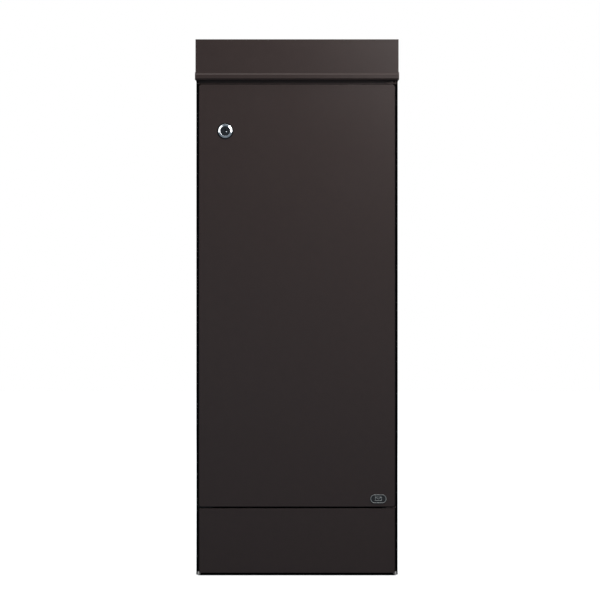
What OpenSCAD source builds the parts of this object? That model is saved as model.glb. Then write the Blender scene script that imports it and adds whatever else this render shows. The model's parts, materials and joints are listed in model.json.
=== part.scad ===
// Free-standing parcel drop box.
// A hinged lid with a tipping hopper takes the parcel in at the top, and a
// keyed door in the front gives it back. The front faces -Y and +Z is up.
// The origin is the middle of the footprint, on the floor.

/* [Overall size] */
// Width across the two side panels
body_w = 407; // [360:1:500]
// Depth from the lid's front lip to the rivet heads on the back
total_d = 385; // [360:1:480]
// Height from the floor to the top of the lid
total_h = 1081; // [960:1:1300]

/* [Sheet metal] */
// Thickness of the cabinet and door sheet
sheet = 1.2; // [0.8:0.1:2]
// Thickness of the lid sheet
lid_sheet = 1; // [0.8:0.1:1.5]
// Thickness of the floor-bolt plate
base_t = 2.5; // [2:0.5:4]
// Gap left between two pieces that are riveted or screwed together
fit_gap = 0.1; // [0.05:0.05:0.2]

/* [Lid] */
// Height of the lid's skirt, from the top down to the bottom of the lip
skirt_h = 82; // [70:1:110]
// How far the lip stands in front of the skirt
lip_out = 3.5; // [2:0.5:6]
// Height of the folded lip
lip_h = 13.5; // [11:0.5:18]
// How far the lip's ends stand past the skirt on each side
lip_side = 1; // [0.5:0.5:2]
// Space between the skirt and the cabinet in front
skirt_gap = 3; // [2:0.5:6]
// Space between the skirt and each side panel
side_gap = 0.6; // [0.6:0.1:2]
// Outer radius of the rolled rear edge, centred on the lid's pivot
roll_r = 18; // [16:1:22]
// Height of the rubber buffers that the lid rests on
buffer_h = 9; // [7:0.5:12]
// Diameter of the lid's pivot bolts
lid_pin_d = 8; // [6:1:10]
// Angle that the lid opens to
lid_open = 70; // [60:1:74]

/* [Hopper] */
// Gap between the hopper's sweep and the fixed guard in front of it
hopper_air = 3.6; // [3:0.1:20]
// Gap between each hopper cheek and the top flange beside it
cheek_gap = 2.8; // [2:0.1:12]
// Gap between the hopper's floor and each side panel
hopper_side_gap = 5.3; // [4:0.1:6.5]
// Arc of the fixed guard behind the front header, in degrees
guard_arc = 32; // [20:1:38]

/* [Door] */
// Gap between the door and the side panel's front hem
door_gap = 3.35; // [2.8:0.05:6]
// Height of the door's lower edge above the floor
door_z0 = 137.2; // [120:0.2:200]
// Clear height between the lid's lip and the door
door_top_gap = 9; // [6:0.5:14]
// Depth of the folded door pan
door_depth = 18; // [16:1:20]
// Width of the door's rear return flange
door_return = 26; // [24:1:32]
// Radius of the door's corners
door_corner_r = 5; // [2:0.5:8]
// Distance of the pivot pins from the door's edge and from its face
pivot_in = 6.5; // [6:0.1:7]
// Diameter of the door's pivot pins
pivot_d = 5; // [4:0.5:5]
// Space for the seal behind the door
seal_gap = 3.5; // [3:0.5:6]

/* [Lock] */
// Distance of the lock's axis from the door's free edge
lock_in = 52.75; // [50:0.25:56]
// Distance of the lock's axis below the door's upper edge
lock_drop = 94; // [60:1:240]
// Diameter of the bright bezel
bezel_d = 28; // [24:1:32]
// Diameter of the dark collar under the bezel
collar_d = 33; // [30:1:38]
// Diameter of the lock's barrel
barrel_d = 19; // [18:1:21]
// Length of the cam from its axis to its tip
cam_len = 42; // [40:1:44]

/* [Plinth and floor] */
// Height of the plinth panel's top
plinth_top = 133; // [110:1:180]
// Height of the plinth panel's lower edge
plinth_foot = 3.2; // [3:0.1:6]
// Height at which the inner posts stop above the floor
post_foot = 10; // [6:1:20]

/* [Fixing holes] */
// Floor bolts, spacing across
floor_bolt_x = 300; // [200:10:320]
// Floor bolts, spacing front to back
floor_bolt_y = 220; // [160:10:240]
// Floor bolt holes, diameter
floor_bolt_d = 11; // [9:1:13]
// Wall screws, spacing across
wall_screw_x = 260; // [160:10:300]
// Wall screws, spacing up and down
wall_screw_z = 600; // [400:10:700]
// Wall screw holes, diameter
wall_screw_d = 9; // [6:1:10]
// Distance of the upper wall screws below the top of the lid
wall_screw_drop = 181; // [150:1:220]

/* [Hidden] */
$fn = 64;
bite = 0.01;
// clearance around rivets, screws and pins in their holes
run_gap = 0.05;

// Cabinet planes
half_w = body_w / 2;
in_x = half_w - sheet;
hem_x = in_x - sheet;
hem_d = 10;
top_flange = 15;
rear_flange = 20;
back_foot = 12;
front_y = -total_d / 2 + lip_out + lid_sheet + skirt_gap;
rivet_head_h = 1.3;
back_y = total_d / 2 - rivet_head_h;
back_in = back_y - sheet;
hy = total_d / 2 - roll_r;
hz = total_h - roll_r;
body_top = total_h - lid_sheet - buffer_h;

// Lid planes
lid_x = half_w + side_gap + lid_sheet;
lid_front = -total_d / 2 + lip_out;
lid_foot = total_h - skirt_h;
lid_under = total_h - lid_sheet;
roll_clear = 0.7;
hub_r = roll_r - lid_sheet - 1.5;
// the back panel stops where the rolled edge still turns clear of it, and the
// rolled edge ends just above that
back_top = hz - sqrt(pow(roll_r + roll_clear, 2) - pow(back_in - hy, 2));
roll_end = asin((hz - back_top - 0.5) / roll_r);

// Door and frame planes
door_x = hem_x - door_gap;
door_top = lid_foot - door_top_gap;
door_y1 = front_y + door_depth;
stop_y = door_y1 + seal_gap;
post_w = 30;
post_leg = 23;
post_x = in_x - post_w;
head_gap = 1;
head_z = door_top + head_gap;
stop_h = 19;
header_step = 8.5; // the header's face stands in front of the door stop
header_y = stop_y - header_step;
pivot_x = door_x - pivot_in;
pivot_y = front_y + pivot_in;
pivot_r = pivot_d / 2;

// Floor of the parcel compartment
tray_z = plinth_top + 1;
tray_x = in_x - sheet - fit_gap;
tray_lip = 18;
tray_rim = 14;
mat_t = 3;

// Gasket
seal_w = 10;
seal_t = seal_gap - 2 * fit_gap;
seal_in = 0.7;

// Hopper: its floor hangs as far below the lid's plane as the lid opens, so
// that it comes level when the lid is fully open.
floor_line = 180 + lid_open;
scoop_r = 48;
scoop_top_y = hy - 36.5;
hopper_t = 1.2;
hopper_hem = 12;
hopper_floor_x = in_x - hopper_side_gap;
cheek_x = in_x - top_flange - cheek_gap;
// the guard's upper edge lies against the front header's rear lip
guard_r = hy - stop_y - sheet - hopper_t;
guard_w = cheek_x + 1.5;
hopper_r = guard_r - hopper_air;
stop_air = 0.3;
pad_h = body_top - sheet - hz - hopper_t - fit_gap - stop_air;

// Lock, and its depths counted from the door's face
lock_x = door_x - lock_in;
lock_z = door_top - lock_drop;
collar_t = 1.2;
bezel_t = 2;
bezel_y = front_y - collar_t - bezel_t;
strike_t = 1.2;
cam_gap = 1; // between the strike and the turned cam
cam_t = 2.5;
cam_y = stop_y + sheet + strike_t + cam_gap;
plug_r = 7.5;
tail = 8;
face_r = 9.8;

dark = [0.20, 0.17, 0.165];
inner = [0.27, 0.24, 0.235];
zinc = [0.70, 0.71, 0.73];
rubber = [0.08, 0.08, 0.08];
nylon = [0.85, 0.84, 0.80];
chrome = [0.86, 0.87, 0.88];
steel = [0.25, 0.25, 0.26];

// ---------------------------------------------------------------- helpers

// A box given by its low and high corners.
module box(lo, hi) translate(lo) cube(hi - lo);

// A 2-D outline in the Y-Z plane made solid between two places on X.
module across(x0, x1) translate([x0, 0, 0]) rotate([90, 0, 90]) linear_extrude(x1 - x0) children();

// A 2-D outline in the X-Z plane made solid between two places on Y.
module along_y(y0, y1) translate([0, y1, 0]) rotate([90, 0, 0]) linear_extrude(y1 - y0) children();

// A rod or tube along one axis.
module rod_x(x0, x1, y, z, r) translate([x0, y, z]) rotate([0, 90, 0]) cylinder(h = x1 - x0, r = r);
module rod_y(y0, y1, x, z, r) translate([x, y1, z]) rotate([90, 0, 0]) cylinder(h = y1 - y0, r = r);
module rod_z(z0, z1, x, y, r) translate([x, y, z0]) cylinder(h = z1 - z0, r = r);

// A copy on the other side of the centre line too.
module both_sides() {
    children();
    mirror([1, 0, 0]) children();
}

function unit(v) = v / norm(v);
function left_of(v) = [-v[1], v[0]];
// Where the offset of a bent line turns its corner number i.
function miter(p, i, t) =
    let (
        a = i == 0 ? unit(p[1] - p[0]) : unit(p[i] - p[i - 1]),
        b = i == len(p) - 1 ? a : unit(p[i + 1] - p[i]),
        n = left_of(a) + left_of(b)
    ) p[i] + n * (2 * t / (n * n));
// The outline of a bent sheet: a line, and the same line moved to its left by t.
function bent(p, t) = concat(p, [for (i = [len(p) - 1 : -1 : 0]) miter(p, i, t)]);

// A point at an angle and radius from the lid's pivot, in the Y-Z plane.
function from_pivot(r, a) = [hy + r * cos(a), hz + r * sin(a)];

// A wedge of the Y-Z plane around the lid's pivot, for cutting arcs out of rings.
module wedge(r, a0, a1) {
    steps = ceil((a1 - a0) / 30);
    reach = r / cos(15) + 1;
    polygon(concat([[hy, hz]],
        [for (i = [0 : steps]) from_pivot(reach, a0 + (a1 - a0) * i / steps)]));
}

// A sheet curved around the lid's pivot.
module arc_sheet(r_in, t, a0, a1) intersection() {
    difference() {
        translate([hy, hz]) circle(r = r_in + t, $fn = 128);
        translate([hy, hz]) circle(r = r_in, $fn = 128);
    }
    wedge(r_in + t, a0, a1);
}

// A rectangle with four rounded corners, between low and high corners.
module round_rect(lo, hi, r) {
    translate([lo[0] + r, lo[1]]) square([hi[0] - lo[0] - 2 * r, hi[1] - lo[1]]);
    translate([lo[0], lo[1] + r]) square([hi[0] - lo[0], hi[1] - lo[1] - 2 * r]);
    for (x = [lo[0] + r, hi[0] - r], z = [lo[1] + r, hi[1] - r]) translate([x, z]) circle(r = r);
}

// ---------------------------------------------------------------- rivets

// Evenly spaced places from a to b.
function spread(a, b, n) = [for (i = [0 : n - 1]) a + i * (b - a) / (n - 1)];

rivet_r = 2.4;
rivet_head_r = 4.8;
rivet_tail = 1.5;
back_rivet_x = in_x - rear_flange / 2;
back_rivet_z = spread(40, hz - 60, 7);
frame_rivet_z = spread(plinth_top + 60, head_z - 90, 5);

module back_rivet_places() {
    for (z = back_rivet_z, x = [-back_rivet_x, back_rivet_x]) translate([x, 0, z]) children();
}

// Rivets that hold each post's leg to its side panel, seen from inside.
frame_rivet_y = stop_y + (sheet + post_leg) / 2 + 0.1;
module frame_rivet_places() {
    for (z = frame_rivet_z) translate([0, frame_rivet_y, z]) children();
}

// ---------------------------------------------------------------- cabinet

// Seen from the side: the panel, cut back around the lid's rolled edge so
// that only a round hub is left at the pivot.
roll_over = 4; // cleared past the lid's own swing
module side_outline() {
    difference() {
        translate([front_y, 0]) square([back_in - front_y, body_top]);
        difference() {
            union() {
                translate([hy, back_top]) square([roll_r + 5, roll_r * 3]);
                intersection() {
                    translate([hy, hz]) circle(r = roll_r + roll_clear);
                    wedge(roll_r + roll_clear, -lid_open - roll_end - roll_over, 0);
                }
            }
            translate([hy, hz]) circle(r = hub_r);
        }
    }
}

rear_flange_top = hz - roll_r - roll_over;
top_flange_y0 = stop_y + sheet + 3;
top_flange_y1 = hy - 60;
module side_panel() {
    difference() {
        union() {
            across(in_x, half_w) side_outline();
            // the front edge folded back on itself
            box([hem_x, front_y, 0], [in_x + bite, front_y + hem_d, body_top]);
            // flange for the back panel
            box([in_x - rear_flange, back_in - sheet, back_foot],
                [in_x + bite, back_in, rear_flange_top]);
            // flange along the top, which carries the buffers and stops the hopper
            box([in_x - top_flange, top_flange_y0, body_top - sheet],
                [in_x + bite, top_flange_y1, body_top]);
        }
        rod_x(in_x - 1, half_w + 1, hy, hz, lid_pin_d / 2 + run_gap);
        for (z = back_rivet_z) rod_y(back_in - sheet - 1, back_in + 1, back_rivet_x, z,
            rivet_r + run_gap);
    }
}

module side_panel_right() color(dark) side_panel();
module side_panel_left() color(dark) mirror([1, 0, 0]) side_panel();

wall_mid_z = total_h - wall_screw_drop - wall_screw_z / 2;
module back_panel() color(dark) difference() {
    box([-half_w, back_in + fit_gap, back_foot], [half_w, back_y, back_top]);
    for (x = [-1, 1], z = [-1, 1])
        rod_y(back_in - 1, back_y + 1, x * wall_screw_x / 2, wall_mid_z + z * wall_screw_z / 2,
            wall_screw_d / 2);
    back_rivet_places() rod_y(back_in - 1, back_y + 1, 0, 0, rivet_r + run_gap);
}

module back_rivets() color(zinc) back_rivet_places() {
    rod_y(back_in - sheet - rivet_tail, back_y + bite, 0, 0, rivet_r);
    rod_y(back_y, back_y + rivet_head_h, 0, 0, rivet_head_r);
}

base_gap = [2, 4]; // behind the posts, and before the back panel
base_y0 = stop_y + post_leg + base_gap[0];
base_y1 = back_in - base_gap[1];
base_x = in_x - fit_gap;
base_flange = 25;
plinth_screw_x = 120;
plinth_lap = 13;
plinth_screw_y = base_y0 + plinth_lap / 2;
module base_plate() color(inner) difference() {
    union() {
        box([-base_x, base_y0, 0], [base_x, base_y1, base_t]);
        both_sides() box([base_x - base_t, base_y0, 0], [base_x, base_y1, base_flange]);
    }
    for (x = [-1, 1], y = [-1, 1])
        rod_z(-1, base_t + 1, x * floor_bolt_x / 2, y * floor_bolt_y / 2, floor_bolt_d / 2);
    both_sides() rod_z(-1, base_t + 1, plinth_screw_x, plinth_screw_y, screw_r + run_gap);
}

// The plinth is a shallow pan with a foot flange and two ears for its screws.
ear_z0 = 20;
ear_z1 = plinth_top - 38;
ear_w = 14;
plinth_fold = 15;
foot_in = 6;
foot_notch = 8;
ear_screw_z = [ear_z0 + 12, ear_z1 - 12];
ear_screw_x = door_x - ear_w / 2 - 1;
screw_r = 2;
screw_head_r = 4;
screw_head_t = 2.5;
module plinth_panel() color(dark) difference() {
    union() {
        along_y(front_y, front_y + sheet)
            translate([-door_x, plinth_foot]) square([2 * door_x, plinth_top - plinth_foot]);
        box([-door_x, front_y, plinth_top - sheet],
            [door_x, front_y + plinth_fold, plinth_top]);
        box([-door_x + foot_in, front_y, plinth_foot],
            [door_x - foot_in, base_y0 + plinth_lap, plinth_foot + sheet]);
        both_sides() {
            box([door_x - sheet, front_y, plinth_foot + foot_notch],
                [door_x, front_y + plinth_fold, plinth_top]);
            box([door_x - sheet, front_y, ear_z0], [door_x, stop_y - fit_gap, ear_z1]);
            box([door_x - ear_w, stop_y - fit_gap - sheet, ear_z0],
                [door_x, stop_y - fit_gap, ear_z1]);
        }
    }
    both_sides() {
        for (z = ear_screw_z) rod_y(stop_y - 2 * sheet, stop_y, ear_screw_x, z,
            screw_r + run_gap);
        rod_z(plinth_foot - 1, plinth_foot + sheet + 1, plinth_screw_x, plinth_screw_y,
            screw_r + run_gap);
    }
}

screw_tip = 6;
floor_air = 0.4;
module plinth_screws() color(zinc) both_sides() {
    for (z = ear_screw_z) {
        rod_y(stop_y - screw_tip, stop_y + sheet + screw_head_t, ear_screw_x, z, screw_r);
        rod_y(stop_y + sheet + fit_gap, stop_y + sheet + screw_head_t, ear_screw_x, z,
            screw_head_r);
    }
    rod_z(floor_air, plinth_foot + sheet + screw_head_t, plinth_screw_x, plinth_screw_y,
        screw_r);
    rod_z(plinth_foot + sheet + fit_gap, plinth_foot + sheet + screw_head_t, plinth_screw_x,
        plinth_screw_y, screw_head_r);
}

// An angle on each side that the door closes against.
post_top = head_z - stop_h - 0.5; // just under the door head's stop
module door_post() difference() {
    union() {
        box([post_x, stop_y, post_foot], [in_x - fit_gap, stop_y + sheet, post_top]);
        box([in_x - fit_gap - sheet, stop_y, post_foot],
            [in_x - fit_gap, stop_y + post_leg, post_top]);
    }
    for (z = ear_screw_z)
        rod_y(stop_y - 1, stop_y + sheet + 1, ear_screw_x, z, screw_r + run_gap);
    frame_rivet_places() rod_x(in_x - 3 * sheet, in_x, 0, 0, rivet_r + run_gap);
}
module door_post_right() color(dark) door_post();
module door_post_left() color(dark) mirror([1, 0, 0]) door_post();

// The posts are fixed from inside to blind studs that end in the side
// panel's inner face, so that nothing shows on the outside.
leg_in = in_x - fit_gap - sheet;
module frame_rivets() color(zinc) both_sides() frame_rivet_places() {
    rod_x(leg_in - rivet_head_h, leg_in - run_gap, 0, 0, rivet_head_r);
    rod_x(leg_in - fit_gap, in_x - 2 * bite, 0, 0, rivet_r);
}

// The head of the door frame: a stop behind the door and a ledge over it
// that takes the upper pivot pin.
ledge_x = hem_x - fit_gap;
module door_head() color(dark) difference() {
    across(-ledge_x, ledge_x) polygon(bent([[stop_y, head_z - stop_h], [stop_y, head_z],
        [front_y + 1, head_z]], -sheet));
    rod_z(head_z - 1, head_z + sheet + 1, pivot_x, pivot_y, pivot_r + run_gap);
}

// The header over the door, a channel open to the back.
header_foot = head_z + sheet + fit_gap;
header_x = in_x - fit_gap;
header_hang = 26;
module front_header() color(dark) across(-header_x, header_x)
    polygon(bent([[stop_y, header_foot], [header_y, header_foot], [header_y, body_top],
        [stop_y + sheet, body_top], [stop_y + sheet, body_top - header_hang]], -sheet));

// A channel across the back, under the lid's rolled edge.
rail_z1 = hz - 23;
rail_z0 = rail_z1 - 30;
rail_y1 = back_in - sheet - fit_gap;
rail_y0 = back_in - sheet - 20;
module rear_rail() color(dark) across(-in_x + fit_gap, in_x - fit_gap)
    polygon(bent([[rail_y0, rail_z0], [rail_y1, rail_z0], [rail_y1, rail_z1],
        [rail_y0, rail_z1]], sheet));

// A fixed curved sheet just outside the hopper's sweep, so that nothing can
// be fished out past the hopper's edge while the lid is half open.
guard_tab = 5;
guard_steps = 16;
guard_hem = 12;
guard_line = concat([[hy - guard_r, hz + guard_tab]],
    [for (i = [0 : guard_steps]) from_pivot(guard_r, 180 + guard_arc * i / guard_steps)],
    [from_pivot(guard_r + guard_hem, 180 + guard_arc)]);
module fishing_guard() color(inner) across(-guard_w, guard_w) polygon(bent(guard_line, -hopper_t));

module floor_tray() color(inner) {
    box([-tray_x, stop_y + sheet + fit_gap, tray_z],
        [tray_x, back_in - sheet - fit_gap, tray_z + sheet]);
    // the front edge turned up behind the door
    box([-post_x + fit_gap, stop_y, tray_z],
        [post_x - fit_gap, stop_y + sheet + 1, tray_z + sheet]);
    box([-post_x + fit_gap, stop_y, tray_z],
        [post_x - fit_gap, stop_y + sheet, tray_z + tray_lip]);
    // side and rear edges turned up against the panels
    both_sides() box([tray_x - sheet, stop_y + sheet + fit_gap, tray_z],
        [tray_x, back_in - sheet - fit_gap, tray_z + tray_rim]);
    box([-tray_x, back_in - 2 * sheet - fit_gap, tray_z],
        [tray_x, back_in - sheet - fit_gap, tray_z + tray_rim]);
}

mat_in = 4;
module floor_mat() color(rubber)
    box([-tray_x + sheet + mat_in, stop_y + sheet + mat_in, tray_z + sheet + fit_gap],
        [tray_x - sheet - mat_in, back_in - 2 * sheet - mat_in, tray_z + sheet + mat_t]);

seal_x = post_x + seal_in + seal_w;
seal_z0 = tray_z + tray_lip - 1;
seal_z1 = head_z - stop_h + 2;
module door_seal() color(rubber)
    along_y(stop_y - fit_gap - seal_t, stop_y - fit_gap) difference() {
        translate([-seal_x, seal_z0 - seal_w + 1])
            square([2 * seal_x, seal_z1 - seal_z0 + 2 * seal_w - 1]);
        translate([-seal_x + seal_w, seal_z0])
            square([2 * seal_x - 2 * seal_w, seal_z1 - seal_z0]);
    }

strike_w = 18;
strike_h = 50;
module lock_strike() color(zinc)
    box([-post_x - strike_w, stop_y + sheet + fit_gap, lock_z - strike_h / 2],
        [-post_x, stop_y + sheet + strike_t, lock_z + strike_h / 2]);

bracket_t = 2;
bracket_w = 22;
bracket_h = [38, 34]; // upright leaf of the upper and of the lower bracket
module upper_hinge_bracket() color(dark) difference() {
    union() {
        box([ledge_x - bracket_w, front_y + 1, header_foot],
            [ledge_x, header_y - fit_gap, header_foot + bracket_t]);
        box([ledge_x - bracket_t, front_y + 1, header_foot],
            [ledge_x, header_y - fit_gap, header_foot + bracket_h[0]]);
    }
    rod_z(header_foot - 1, header_foot + 3, pivot_x, pivot_y, pivot_r + run_gap);
}

lower_leaf = door_z0 - 3;
module lower_hinge_bracket() color(dark) difference() {
    union() {
        box([ledge_x - bracket_w, front_y + 1, lower_leaf],
            [ledge_x, stop_y - fit_gap, lower_leaf + bracket_t]);
        box([ledge_x - bracket_w, stop_y - fit_gap - bracket_t, lower_leaf - bracket_h[1]],
            [ledge_x, stop_y - fit_gap, lower_leaf + bracket_t]);
    }
    rod_z(lower_leaf - 1, lower_leaf + 3, pivot_x, pivot_y, pivot_r + run_gap);
}

pin_reach = 6;
pin_head_r = pivot_r + 2;
pin_head_t = 2;
module door_pivot_pins() color(dark) {
    rod_z(door_top - pin_reach, header_foot + bracket_t + 1, pivot_x, pivot_y, pivot_r);
    rod_z(header_foot + bracket_t + fit_gap, header_foot + bracket_t + pin_head_t, pivot_x,
        pivot_y, pin_head_r);
    rod_z(lower_leaf, door_z0 + pin_reach, pivot_x, pivot_y, pivot_r);
    rod_z(lower_leaf + bracket_t + fit_gap, door_z0 - fit_gap, pivot_x, pivot_y, pin_head_r);
}

buffer_r = 6;
buffer_y = [top_flange_y0 + 28.8, top_flange_y1 - 25];
buffer_x = in_x - top_flange / 2 - 0.5;
module lid_buffers() color(rubber) both_sides() for (y = buffer_y)
    rod_z(body_top + fit_gap, lid_under - 2 * fit_gap, buffer_x, y, buffer_r);

// On the inside of each side panel a washer and a nut, with the bolt's end
// standing out of the nut.
washer_t = 1.2;
nut_gap = 0.2;
nut_h = 6.5;
nut_r = lid_pin_d * 0.92;
nut_x = in_x - fit_gap - washer_t - nut_gap - nut_h;
bolt_x0 = nut_x - 0.5;
bolt_head_t = 2;
bolt_head_x = lid_x + 2 * fit_gap;
module lid_pivot_bolts() color(zinc) both_sides() {
    rod_x(bolt_x0, bolt_head_x + fit_gap, hy, hz, lid_pin_d / 2);
    rod_x(bolt_head_x, bolt_head_x + bolt_head_t, hy, hz, lid_pin_d);
}

module lid_pivot_washers() color(zinc) both_sides() difference() {
    rod_x(in_x - fit_gap - washer_t, in_x - fit_gap, hy, hz, lid_pin_d);
    rod_x(nut_x, in_x, hy, hz, lid_pin_d / 2 + 3 * run_gap);
}

module lid_pivot_nuts() color(zinc) both_sides() difference() {
    translate([nut_x, hy, hz]) rotate([0, 90, 0]) cylinder(h = nut_h, r = nut_r, $fn = 6);
    rod_x(nut_x - 1, in_x, hy, hz, lid_pin_d / 2 + run_gap);
}

// ---------------------------------------------------------------- lid

bush_r = lid_pin_d / 2 + 2;
bush_rim = 3;

// The lip is the skirt's lower edge, folded out to a nose and back in.
lip_top = lid_foot + lip_h;
lip_ramp = 3.5;
lip_nose = 3;
lip_line = [[lid_front, lip_top + 2], [lid_front, lip_top],
    [lid_front - lip_out, lip_top - lip_ramp], [lid_front - lip_out, lid_foot + lip_nose],
    [lid_front - lip_out + lip_nose, lid_foot], [lid_front + lid_sheet + 1, lid_foot]];

module lid_side_outline() {
    difference() {
        translate([lid_front, lid_foot]) square([hy + roll_r - lid_front, skirt_h]);
        difference() {
            translate([hy, hz]) square(roll_r + 1);
            translate([hy, hz]) circle(r = roll_r);
        }
    }
}

module lid_shell() color(dark) difference() {
    union() {
        // top, then the rear edge rolled around the pivot
        box([-lid_x, lid_front, lid_under], [lid_x, hy, total_h]);
        across(-lid_x, lid_x) arc_sheet(roll_r - lid_sheet, lid_sheet, -roll_end, 90);
        // front skirt and its lip
        box([-lid_x, lid_front, lip_top], [lid_x, lid_front + lid_sheet, total_h]);
        across(-lid_x, lid_x) polygon(bent(lip_line, lid_sheet));
        // side skirts, and the ends that close the lip
        both_sides() {
            across(lid_x - lid_sheet, lid_x) lid_side_outline();
            across(lid_x - bite, lid_x + lip_side) polygon(lip_line);
        }
    }
    both_sides() rod_x(lid_x - lid_sheet - 1, lid_x + 1, hy, hz, bush_r + run_gap);
}

module lid_pivot_bushes() color(nylon) both_sides() difference() {
    union() {
        rod_x(half_w + fit_gap, lid_x + run_gap, hy, hz, bush_r);
        rod_x(half_w + fit_gap, lid_x - lid_sheet - run_gap, hy, hz, bush_r + bush_rim);
    }
    rod_x(half_w - 1, lid_x + 1, hy, hz, lid_pin_d / 2 + run_gap);
}

// The hopper floor's own frame: Y runs out from the pivot along the floor, and
// Z points out of the back of it.
module on_hopper_floor() translate([0, hy, hz]) rotate([floor_line, 0, 0]) children();

hopper_rivet_r = spread(scoop_r + 40, hopper_r - 40, 4);
module hopper_rivet_places()
    for (r = hopper_rivet_r) translate([cheek_x - cheek_fold / 2, r, 0]) children();

// The hopper's floor: a flange under the lid, the scoop's back, the floor
// itself and a hem along its free edge.
top_lap = 28;
scoop_p = from_pivot(scoop_r, floor_line);
floor_end = from_pivot(hopper_r, floor_line);
hem_end = floor_end + hopper_hem * [-sin(floor_line), cos(floor_line)];
module hopper_floor() color(inner) difference() {
    across(-hopper_floor_x, hopper_floor_x)
        polygon(bent([[scoop_top_y - top_lap, lid_under - fit_gap],
            [scoop_top_y, lid_under - fit_gap], scoop_p, floor_end, hem_end], -hopper_t));
    both_sides() on_hopper_floor() hopper_rivet_places()
        rod_z(-hopper_t - 1, 1, 0, 0, rivet_r + run_gap);
}

cheek_fold = 11;
cheek_top = lid_under - fit_gap;
cheek_front = hy - sqrt(pow(hopper_r - 1, 2) - pow(cheek_top - hz, 2));
cheek_lift = (hopper_t + fit_gap) * [sin(floor_line), -cos(floor_line)];
module cheek_outline() intersection() {
    translate([hy, hz]) circle(r = hopper_r - 1, $fn = 128);
    polygon([[cheek_front, cheek_top], [scoop_top_y - 30, cheek_top],
        [scoop_top_y - 30, cheek_top - 2], [scoop_top_y - 3, cheek_top - 2],
        scoop_p + cheek_lift + 3 * [cos(floor_line), sin(floor_line)], floor_end + cheek_lift,
        from_pivot(hopper_r * 1.1, floor_line - 23),
        from_pivot(hopper_r * 1.1, floor_line - 46), [cheek_front, hz - 10]]);
}

module hopper_cheek() difference() {
    union() {
        across(cheek_x - hopper_t, cheek_x) cheek_outline();
        // flange under the lid
        box([cheek_x - cheek_fold, cheek_front + 12, cheek_top - hopper_t],
            [cheek_x, scoop_top_y - 32, cheek_top]);
        // flange on the hopper's floor
        on_hopper_floor()
            box([cheek_x - cheek_fold, scoop_r + 14, -2 * hopper_t - fit_gap],
                [cheek_x, hopper_r - 16, -hopper_t - fit_gap]);
    }
    on_hopper_floor() hopper_rivet_places()
        rod_z(-2 * hopper_t - 1, 0, 0, 0, rivet_r + run_gap);
}
module hopper_cheek_right() color(inner) hopper_cheek();
module hopper_cheek_left() color(inner) mirror([1, 0, 0]) hopper_cheek();

module hopper_rivets() color(zinc) both_sides() on_hopper_floor() hopper_rivet_places() {
    rod_z(-2 * hopper_t - fit_gap - 1.5, rivet_head_h, 0, 0, rivet_r);
    rod_z(0.05, rivet_head_h, 0, 0, rivet_head_r);
}

// Rubber pads that meet the side panels' top flanges when the lid is open.
pad_r = 4.5;
pad_x = hopper_floor_x - pad_r - 1;
pad_in = [60, 20];
module hopper_stop_pads() color(rubber) both_sides() on_hopper_floor()
    for (r = [hopper_r - pad_in[0], hopper_r - pad_in[1]])
        rod_z(-hopper_t - fit_gap - pad_h, -hopper_t - fit_gap, pad_x, r, pad_r);

// ---------------------------------------------------------------- door

lock_hole_r = barrel_d / 2 + fit_gap;
door_bush_r = pivot_r + 1;
module door_panel() color(dark) difference() {
    along_y(front_y, door_y1) round_rect([-door_x, door_z0], [door_x, door_top], door_corner_r);
    // hollow of the pan
    along_y(front_y + sheet, door_y1 - sheet)
        round_rect([-door_x + sheet, door_z0 + sheet], [door_x - sheet, door_top - sheet],
            door_corner_r - sheet);
    // opening inside the return flange
    along_y(door_y1 - 2 * sheet, door_y1 + 1)
        translate([-door_x + door_return, door_z0 + door_return])
            square([2 * (door_x - door_return), door_top - door_z0 - 2 * door_return]);
    rod_y(front_y - 1, front_y + sheet + 1, -lock_x, lock_z, lock_hole_r);
    for (z = [door_z0, door_top]) rod_z(z - 2, z + 2, pivot_x, pivot_y, door_bush_r + run_gap);
}

hinge_plate_t = 3;
hinge_plate_w = 30;
plate_in = sheet + fit_gap;
module hinge_plate(z0) difference() {
    intersection() {
        box([door_x - hinge_plate_w, front_y + plate_in, z0],
            [door_x, door_y1 - plate_in, z0 + hinge_plate_t]);
        // kept inside the pan's rounded corners
        along_y(front_y, door_y1)
            round_rect([-door_x + plate_in, door_z0 + plate_in],
                [door_x - plate_in, door_top - plate_in], door_corner_r - plate_in);
    }
    rod_z(z0 - 1, z0 + hinge_plate_t + 1, pivot_x, pivot_y, door_bush_r + run_gap);
}
top_plate_z = door_top - plate_in - hinge_plate_t;
bottom_plate_z = door_z0 + plate_in;
module door_hinge_plate_top() color(zinc) hinge_plate(top_plate_z);
module door_hinge_plate_bottom() color(zinc) hinge_plate(bottom_plate_z);

module door_pivot_bushes() color(nylon)
    for (z = [[top_plate_z, door_top], [door_z0, bottom_plate_z + hinge_plate_t]]) difference() {
        rod_z(z[0], z[1], pivot_x, pivot_y, door_bush_r);
        rod_z(z[0] - 1, z[1] + 1, pivot_x, pivot_y, pivot_r + run_gap);
    }

// A hat section across the inside of the door.
stiffener_x = door_x - door_return - 4;
hat_w = 60;
hat_h = 13;
hat_lean = 4;
module stiffener(z) {
    y0 = front_y + sheet + fit_gap;
    y1 = y0 + hat_h;
    foot = hat_w / 4;
    across(-stiffener_x, stiffener_x) polygon(bent([[y0, z - hat_w / 2], [y0, z - foot],
        [y1, z - foot + hat_lean], [y1, z + foot - hat_lean], [y0, z + foot],
        [y0, z + hat_w / 2]], -sheet));
}
door_span = door_top - door_z0;
module door_stiffener_upper() color(dark) stiffener(door_z0 + door_span * 0.66);
module door_stiffener_lower() color(dark) stiffener(door_z0 + door_span * 0.33);

bumper_r = 4;
bumper_air = 0.3;
module door_bumpers() color(rubber) for (z = [door_z0 + 60, lock_z - 90])
    rod_y(door_y1 + fit_gap, stop_y - bumper_air, -door_x + 2 * bumper_r, z, bumper_r);

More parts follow.
